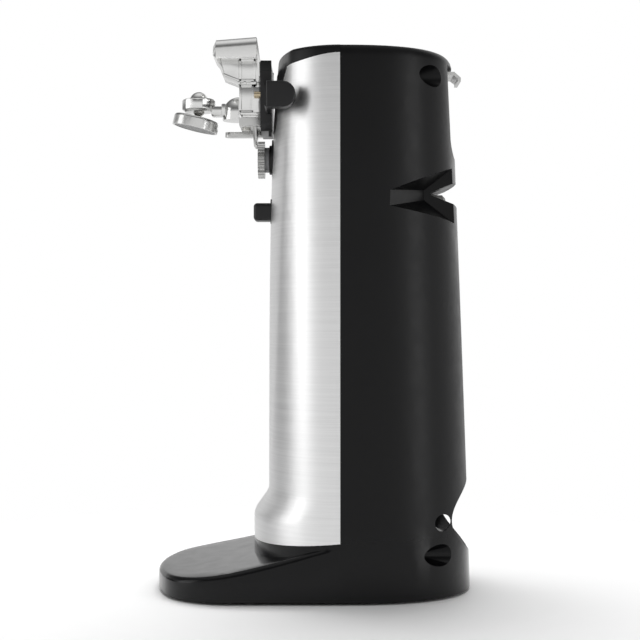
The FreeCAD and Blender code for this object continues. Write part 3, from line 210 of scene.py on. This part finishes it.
class Material:
    """A Principled material and short ways to drive its sockets from patterns."""

    def __init__(self, name):
        self.data = bpy.data.materials.new(name)
        self.data.use_nodes = True
        self.nodes = self.data.node_tree.nodes
        self.links = self.data.node_tree.links
        self.shader = self.nodes["Principled BSDF"]
        self.place = self.nodes.new("ShaderNodeTexCoord")
        self.last_normal = None

    def set(self, **values):
        for name, value in values.items():
            socket = self.shader.inputs[name.replace("_", " ")]
            socket.default_value = value

    def noise(self, scale, detail=3.0, stretch=(1, 1, 1), roughness=0.5):
        """Noise of `scale` features per metre, squeezed along each axis by `stretch`."""
        mapping = self.nodes.new("ShaderNodeMapping")
        mapping.inputs["Scale"].default_value = stretch
        self.links.new(self.place.outputs["Object"], mapping.inputs["Vector"])
        node = self.nodes.new("ShaderNodeTexNoise")
        node.inputs["Scale"].default_value = scale
        node.inputs["Detail"].default_value = detail
        node.inputs["Roughness"].default_value = roughness
        self.links.new(mapping.outputs["Vector"], node.inputs["Vector"])
        return node.outputs["Fac"]

    def voronoi(self, scale):
        node = self.nodes.new("ShaderNodeTexVoronoi")
        node.inputs["Scale"].default_value = scale
        self.links.new(self.place.outputs["Object"], node.inputs["Vector"])
        return node.outputs["Distance"]

    def along(self, axis):
        split = self.nodes.new("ShaderNodeSeparateXYZ")
        self.links.new(self.place.outputs["Object"], split.inputs["Vector"])
        return split.outputs[axis]

    def remap(self, value, low, high, start=0.3, end=0.7):
        """Turn start..end, which is about the range of noise, into low..high."""
        node = self.nodes.new("ShaderNodeMapRange")
        node.inputs["From Min"].default_value = start
        node.inputs["From Max"].default_value = end
        node.inputs["To Min"].default_value = low
        node.inputs["To Max"].default_value = high
        self.links.new(value, node.inputs["Value"])
        return node.outputs["Result"]

    def math(self, operation, first, second):
        node = self.nodes.new("ShaderNodeMath")
        node.operation = operation
        for socket, value in zip(node.inputs, (first, second)):
            if isinstance(value, (int, float)):
                socket.default_value = value
            else:
                self.links.new(value, socket)
        return node.outputs[0]

    def colours(self, value, stops):
        ramp = self.nodes.new("ShaderNodeValToRGB")
        fill_ramp(ramp, [(at, (*colour, 1)) for at, colour in stops])
        self.links.new(value, ramp.inputs["Fac"])
        return ramp.outputs["Color"]

    def drive(self, name, value):
        self.links.new(value, self.shader.inputs[name])

    def bump(self, height, distance, strength=1.0):
        node = self.nodes.new("ShaderNodeBump")
        node.inputs["Distance"].default_value = distance
        node.inputs["Strength"].default_value = strength
        self.links.new(height, node.inputs["Height"])
        if self.last_normal is not None:
            self.links.new(self.last_normal, node.inputs["Normal"])
        self.last_normal = node.outputs["Normal"]
        self.links.new(self.last_normal, self.shader.inputs["Normal"])


def shades(colour, spread):
    """The same colour a little darker and a little lighter."""
    darker = tuple(c * (1 - spread) for c in colour)
    lighter = tuple(min(1.0, c * (1 + spread)) for c in colour)
    return [(0.35, darker), (0.65, lighter)]


def plastic(name, colour, rough, grain_scale=2600.0, grain=0.000004, specular=0.4):
    """Moulded plastic: slow drift of colour and gloss, fine moulded grain."""
    material = Material(name)
    drift = material.noise(45.0)
    material.drive("Base Color", material.colours(drift, shades(colour, 0.06)))
    material.drive("Roughness", material.remap(material.noise(130.0), rough - 0.04, rough + 0.05))
    material.set(Specular_IOR_Level=specular)
    material.bump(material.noise(grain_scale, 2.0), grain)
    return material


def housing_plastic(name, colour):
    """Black ABS, glossier on the toe and round the foot than on the tall shell."""
    material = plastic(name, colour, 0.42, specular=0.22)
    height = material.along("Z")
    gloss = material.remap(height, 0.0, 1.0, 22 * MM, 34 * MM)
    drift = material.remap(material.noise(160.0), -0.03, 0.04)
    rough = material.remap(gloss, 0.15, 0.36, 0.0, 1.0)
    material.drive("Roughness", material.math("ADD", rough, drift))
    return material


def metal(name, colour, rough_low, rough_high, wear_scale=220.0):
    material = Material(name)
    material.set(Metallic=1.0)
    smear = material.noise(wear_scale, 5.0)
    material.drive("Base Color", material.colours(smear, shades(colour, 0.05)))
    material.drive("Roughness", material.remap(smear, rough_low, rough_high))
    return material


def brushed_wrap(name, colour):
    """Stainless sheet brushed sideways: long thin streaks that follow the wrap."""
    material = Material(name)
    material.set(Metallic=1.0)
    streaks = material.noise(1.0, 6.0, (22, 22, 5200), 0.65)
    coarse = material.noise(1.0, 3.0, (9, 9, 900), 0.6)
    fine_part = material.math("MULTIPLY", streaks, 0.65)
    both = material.math("ADD", fine_part, material.math("MULTIPLY", coarse, 0.35))
    material.drive("Base Color", material.colours(both, shades(colour, 0.07)))
    material.drive("Roughness", material.remap(both, 0.34, 0.48))
    material.bump(streaks, 0.000018, 0.8)
    return material


def casting(name, colour):
    """Plated die casting: bright, with the faint waviness of polished zinc."""
    material = metal(name, colour, 0.15, 0.22, 90.0)
    material.bump(material.noise(420.0, 2.0), 0.00002, 0.35)
    material.bump(material.noise(3200.0, 2.0), 0.000004, 0.4)
    return material


def ground_steel(name, colour):
    material = metal(name, colour, 0.22, 0.38)
    material.bump(material.noise(1.0, 5.0, (300, 4500, 900), 0.6), 0.000014, 0.7)
    return material


def plated_steel(name, colour):
    material = metal(name, colour, 0.16, 0.30, 500.0)
    material.bump(material.noise(900.0, 3.0), 0.000020, 0.6)
    return material


def grainy(name, colour, rough, scale, depth):
    """Stone, ferrite and laminations: speckled and pitted."""
    material = Material(name)
    speckle = material.noise(scale, 4.0, roughness=0.7)
    material.drive("Base Color", material.colours(speckle, shades(colour, 0.25)))
    material.drive("Roughness", material.remap(speckle, rough - 0.08, rough + 0.08))
    material.bump(material.math("ADD", speckle, material.voronoi(scale * 0.6)), depth)
    return material


def rubber(name, colour):
    return plastic(name, colour, 0.72, 1800.0, 0.00003, 0.25)


def winding(name, colour):
    """Fine turns of enamelled wire, side by side."""
    material = metal(name, colour, 0.25, 0.38)
    wave = material.nodes.new("ShaderNodeTexWave")
    wave.bands_direction = "X"
    wave.inputs["Scale"].default_value = 420.0
    wave.inputs["Distortion"].default_value = 0.4
    material.links.new(material.place.outputs["Object"], wave.inputs["Vector"])
    material.bump(wave.outputs["Fac"], 0.00015)
    return material


def make_material(slot):
    colour = tuple(FINISH_OF[slot]["base_color"][:3])
    makers = {
        "black_housing": lambda: housing_plastic(slot, (0.005, 0.005, 0.0055)),
        "black_trim": lambda: plastic(slot, (0.008, 0.008, 0.009), 0.36),
        "black_grip": lambda: plastic(slot, (0.007, 0.007, 0.008), 0.32),
        "black_washer": lambda: plastic(slot, (0.008, 0.008, 0.008), 0.42),
        "grey_plastic": lambda: plastic(slot, colour, 0.38),
        "white_nylon": lambda: plastic(slot, colour, 0.42),
        "bobbin_nylon": lambda: plastic(slot, colour, 0.45),
        "brushed_wrap": lambda: brushed_wrap(slot, (0.86, 0.86, 0.86)),
        "bright_casting": lambda: casting(slot, (0.84, 0.84, 0.83)),
        "magnet_cup_steel": lambda: plated_steel(slot, (0.72, 0.72, 0.71)),
        "ground_steel": lambda: ground_steel(slot, (0.62, 0.62, 0.61)),
        "zinc_steel": lambda: plated_steel(slot, (0.60, 0.59, 0.56)),
        "sintered_bronze": lambda: plated_steel(slot, (0.62, 0.52, 0.36)),
        "ferrite": lambda: grainy(slot, (0.36, 0.36, 0.36), 0.55, 2600.0, 0.00002),
        "grindstone": lambda: grainy(slot, (0.60, 0.60, 0.58), 0.82, 3000.0, 0.00008),
        "laminations": lambda: grainy(slot, (0.16, 0.17, 0.19), 0.50, 1500.0, 0.00003),
        "rubber_black": lambda: rubber(slot, (0.012, 0.012, 0.012)),
        "copper": lambda: winding(slot, (0.70, 0.32, 0.16)),
    }
    return makers[slot]().data


MATERIALS = {slot: make_material(slot) for slot in FINISH_OF}


# ---- CAD nodes -----------------------------------------------------------

SHARP_ANGLE = 34     # degrees; faces that meet at more than this keep a crisp edge
BEVEL_ANGLE = 35     # degrees; edges sharper than this are softened
WELD_DISTANCE = 0.002 * MM


def shade_tree():
    """Geometry nodes that shade smooth except where faces meet at a clear angle."""
    tree = bpy.data.node_groups.new("shade_by_angle", "GeometryNodeTree")
    tree.interface.new_socket("Geometry", in_out="INPUT", socket_type="NodeSocketGeometry")
    tree.interface.new_socket("Geometry", in_out="OUTPUT", socket_type="NodeSocketGeometry")
    nodes, links = tree.nodes, tree.links
    start = nodes.new("NodeGroupInput")
    end = nodes.new("NodeGroupOutput")
    forget = nodes.new("GeometryNodeRemoveAttribute")
    forget.inputs["Name"].default_value = "custom_normal"
    smooth = nodes.new("GeometryNodeSetShadeSmooth")
    edges = nodes.new("GeometryNodeSetShadeSmooth")
    edges.domain = "EDGE"
    edges.inputs["Shade Smooth"].default_value = False
    angle = nodes.new("GeometryNodeInputMeshEdgeAngle")
    sharp = nodes.new("FunctionNodeCompare")
    sharp.operation = "GREATER_THAN"
    sharp.inputs[1].default_value = math.radians(SHARP_ANGLE)
    links.new(angle.outputs["Unsigned Angle"], sharp.inputs[0])
    links.new(start.outputs[0], forget.inputs["Geometry"])
    links.new(forget.outputs["Geometry"], smooth.inputs["Geometry"])
    links.new(smooth.outputs[0], edges.inputs["Geometry"])
    links.new(sharp.outputs["Result"], edges.inputs["Selection"])
    links.new(edges.outputs[0], end.inputs[0])
    return tree


SHADE_TREE = shade_tree()


def finish_node(node, bevel=0.0):
    """Give a CAD node its material, softened edges and clean shading."""
    obj = NODES[node]
    obj.data.materials.clear()
    obj.data.materials.append(MATERIALS[SLOT_OF[node]])
    weld = obj.modifiers.new("weld", "WELD")
    weld.merge_threshold = WELD_DISTANCE
    if bevel:
        edge = obj.modifiers.new("soft_edges", "BEVEL")
        edge.width = bevel
        edge.segments = 2
        edge.limit_method = "ANGLE"
        edge.angle_limit = math.radians(BEVEL_ANGLE)
        edge.use_clamp_overlap = True
    shade = obj.modifiers.new("shade", "NODES")
    shade.node_group = SHADE_TREE


# Width of the softened edges, in millimetres.
BEVELS = {"lever_carrier": 0.35, "blade_holder": 0.2, "can_guide": 0.25,
          "drive_collar": 0.25, "drive_washer": 0.25, "pivot_pin": 0.2, "rim_guide": 0.15}


def finish_nodes():
    for node in NODES:
        finish_node(node, BEVELS.get(node, 0.0) * MM)


# ---- bright castings, remade with their cast detail ----------------------

# All in millimetres.
MAGNET_Y = -55.6
CASTING_LEFT, CASTING_RIGHT = -9.0, 13.0
CASTING_REAR_Y = -25.35
THUMB_LEFT, THUMB_RIGHT, THUMB_LOW = -13.0, 17.0, 249.9
THUMB_ROUNDING = 4.6
COLUMN_FRONT_Y, COLUMN_REAR_Y, NECK_REAR_Y = -35.6, -27.6, -28.7
COLUMN_TOP_Z = 250.4
HOOD_Y, HOOD_Z, HOOD_RADIUS = -36.2, 226.2, 8.0
HOOD_FOOT_Z = 222.9
DOME_Z, DOME_RADIUS = 232.2, 4.5

FLAT_ANGLE = 1.5     # degrees; faces closer to level than this become one
CAST_EDGE_ANGLE = 25


class Casting:
    """One mesh gathered from softened convex lumps, in millimetres."""

    def __init__(self):
        self.mesh = bmesh.new()

    def lump(self, points, soft=0.3, steps=2):
        part = bmesh.new()
        for point in points:
            part.verts.new(Vector(point) * MM)
        hull = bmesh.ops.convex_hull(part, input=part.verts)
        spare = [e for e in hull["geom_interior"] if isinstance(e, bmesh.types.BMVert)]
        bmesh.ops.delete(part, geom=spare, context="VERTS")
        bmesh.ops.dissolve_limit(part, angle_limit=math.radians(FLAT_ANGLE),
                                 verts=part.verts, edges=part.edges)
        if soft:
            sharp = [e for e in part.edges if e.calc_face_angle(0) > math.radians(CAST_EDGE_ANGLE)]
            bmesh.ops.bevel(part, geom=sharp, offset=soft * MM, segments=steps, profile=0.5,
                            affect="EDGES", clamp_overlap=True)
        data = bpy.data.meshes.new("lump")
        part.to_mesh(data)
        part.free()
        self.mesh.from_mesh(data)
        bpy.data.meshes.remove(data)

    def block(self, x0, x1, y0, y1, z0, z1, soft=0.3):
        self.lump([(x, y, z) for x in (x0, x1) for y in (y0, y1) for z in (z0, z1)], soft)

    def side_prism(self, outline, x0, x1, soft=0.3):
        self.lump([(x, y, z) for x in (x0, x1) for y, z in outline], soft)

    def rings(self, centre, rings, sides=72, soft=0.0, turn=0.0):
        """Convex turned shape: a list of (radius, height) rings about an upright axis."""
        points = []
        for radius, height in rings:
            for k in range(sides):
                angle = math.tau * (k + turn) / sides
                x = centre[0] + radius * math.cos(angle)
                points.append((x, centre[1] + radius * math.sin(angle), height))
        self.lump(points, soft)

    def finish(self, name, body, slot, *replaced):
        data = bpy.data.meshes.new(name)
        bmesh.ops.recalc_face_normals(self.mesh, faces=self.mesh.faces)
        self.mesh.to_mesh(data)
        self.mesh.free()
        obj = bpy.data.objects.new(name, data)
        bpy.context.scene.collection.objects.link(obj)
        data.materials.append(MATERIALS[slot])
        obj.modifiers.new("shade", "NODES").node_group = SHADE_TREE
        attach(obj, body)
        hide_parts(*replaced)


def arc(cy, cz, radius, start, end, steps):
    angles = [math.radians(start + (end - start) * k / steps) for k in range(steps + 1)]
    return [(cy + radius * math.cos(a), cz + radius * math.sin(a)) for a in angles]


def thumb_section(inset, top):
    """(x, z) outline of the thumb block, well rounded along its upper edges."""
    left, right, low = THUMB_LEFT + inset, THUMB_RIGHT - inset, THUMB_LOW + inset
    round_z = top - THUMB_ROUNDING - inset
    outline = [(left + 0.6, low), (right - 0.6, low), (right, low + 0.6)]
    outline += arc(right - THUMB_ROUNDING, round_z, THUMB_ROUNDING, 0, 90, 10)
    outline += arc(left + THUMB_ROUNDING, round_z, THUMB_ROUNDING, 90, 180, 10)
    return outline + [(left, low + 0.6)]


def raised_rim(casting, x0, x1, y0, y1, z0, z1, width):
    """Four strips that stand proud round a sunken panel."""
    casting.block(x0, x1, y0, y0 + width, z0, z1, 0.2)
    casting.block(x0, x1, y1 - width, y1, z0, z1, 0.2)
    casting.block(x0, x1, y0, y1, z0, z0 + width, 0.2)
    casting.block(x0, x1, y0, y1, z1 - width, z1, 0.2)


def hood_points():
    """Front half of a dome, carried straight down to the foot of the hood."""
    dome = []
    for ring in range(13):
        lift = math.radians(90 * ring / 12)
        reach, rise = HOOD_RADIUS * math.cos(lift), HOOD_RADIUS * math.sin(lift)
        for k in range(25):
            turn = math.radians(180 + 180 * k / 24)
            dome.append((reach * math.cos(turn), HOOD_Y + reach * math.sin(turn), HOOD_Z + rise))
    return dome + [(x, y, HOOD_FOOT_Z) for x, y, z in dome[:25]]


def build_cutter_casting():
    """Thumb block, web, columns, hood and the flange behind them, one casting."""
    casting = Casting()
    ends = ((-47.8, 1.7, 258.4), (-46.4, 0.2, 259.4), (-27.3, 0.0, 260.7))
    casting.lump([(x, y, z) for y, inset, top in ends for x, z in thumb_section(inset, top)], 0.0)
    left, right = CASTING_LEFT, CASTING_RIGHT
    web = [(-46.0, 250.4), (-43.4, 243.0), (-41.6, 242.0), (-35.2, 239.8), (-35.0, 250.4)]
    casting.side_prism(web, left, right - 1.2, 0.3)
    casting.side_prism([(-46.2, 250.4), (-43.5, 242.9), (-42.6, 242.6), (-44.6, 250.4)], left, right, 0.25)
    casting.side_prism([(-43.5, 242.9), (-35.4, 239.6), (-35.4, 240.8), (-42.9, 243.8)], left, right, 0.25)
    casting.block(left, right - 0.8, COLUMN_FRONT_Y, COLUMN_REAR_Y, 239.4, COLUMN_TOP_Z)
    raised_rim(casting, 4, right, COLUMN_FRONT_Y, COLUMN_REAR_Y, 239.8, COLUMN_TOP_Z, 1.2)
    for y0, y1 in ((-36.0, -35.1), (-33.4, -32.2), (-30.2, -27.3)):
        casting.block(left, right + 0.1, y0, y1, 238.3, 239.9, 0.2)
    casting.block(left, right - 1.5, -35.9, -27.4, 238.3, 239.9, 0.2)
    casting.block(left, right + 0.1, -36.0, -27.3, 239.3, 240.1, 0.2)
    casting.block(-7, 11.0, COLUMN_FRONT_Y, NECK_REAR_Y, 225.0, 238.6)
    raised_rim(casting, 2, 11.7, COLUMN_FRONT_Y, NECK_REAR_Y, 225.3, 238.5, 1.1)
    casting.block(-11, 12.6, -29.0, CASTING_REAR_Y, 225.2, 237.2)
    casting.block(-11, 9.0, -28.8, CASTING_REAR_Y, 236.8, 239.8)
    casting.block(-11, 12.8, -29.0, CASTING_REAR_Y, 239.4, 250.4)
    cheek = [(-27.9, 259.6), (-27.1, 260.2), (-25.4, 249.5), (-25.4, 242.0), (-26.5, 242.0)]
    casting.side_prism(cheek, 12, 14.2, 0.25)
    casting.block(-9, 12.2, -34.9, CASTING_REAR_Y, 224.0, 225.7, 0.4)
    casting.block(-9, 11.6, -34.0, CASTING_REAR_Y, 222.8, 224.3, 0.3)
    casting.lump(hood_points(), 0.0)
    casting.finish("cutter_casting", "lever", "bright_casting", "cutter_frame")


def build_magnet_socket():
    """The boss over the magnet, with the arm that holds it to the hood."""
    casting = Casting()
    centre = (0.0, MAGNET_Y)
    casting.rings(centre, ((8.2, 227.9), (8.2, 232.4)), 12, 0.35, 0.5)
    casting.rings(centre, ((6.7, 227.0), (7.9, 228.4), (7.9, 232.6), (7.2, 233.0), (5.0, 233.2)), 72)
    angles = [math.radians(6 * k) for k in range(15)]
    dome = [(DOME_RADIUS * math.cos(a), DOME_Z + DOME_RADIUS * math.sin(a)) for a in angles]
    casting.rings(centre, dome + [(0.05, 236.7)], 72)
    casting.block(-3.4, 3.4, -49.6, -42.8, 224.9, 229.5, 0.9)
    casting.block(-4.2, 4.2, -44.6, -42.4, 224.9, 230.6, 0.6)
    casting.finish("magnet_socket", "lever", "bright_casting", "magnet_arm")


# ---- whole scene ---------------------------------------------------------

bpy.context.scene.view_settings.view_transform = "Standard"
add_camera()
add_lights()
set_world()
add_floor()
finish_nodes()
build_cutter_casting()
build_magnet_socket()
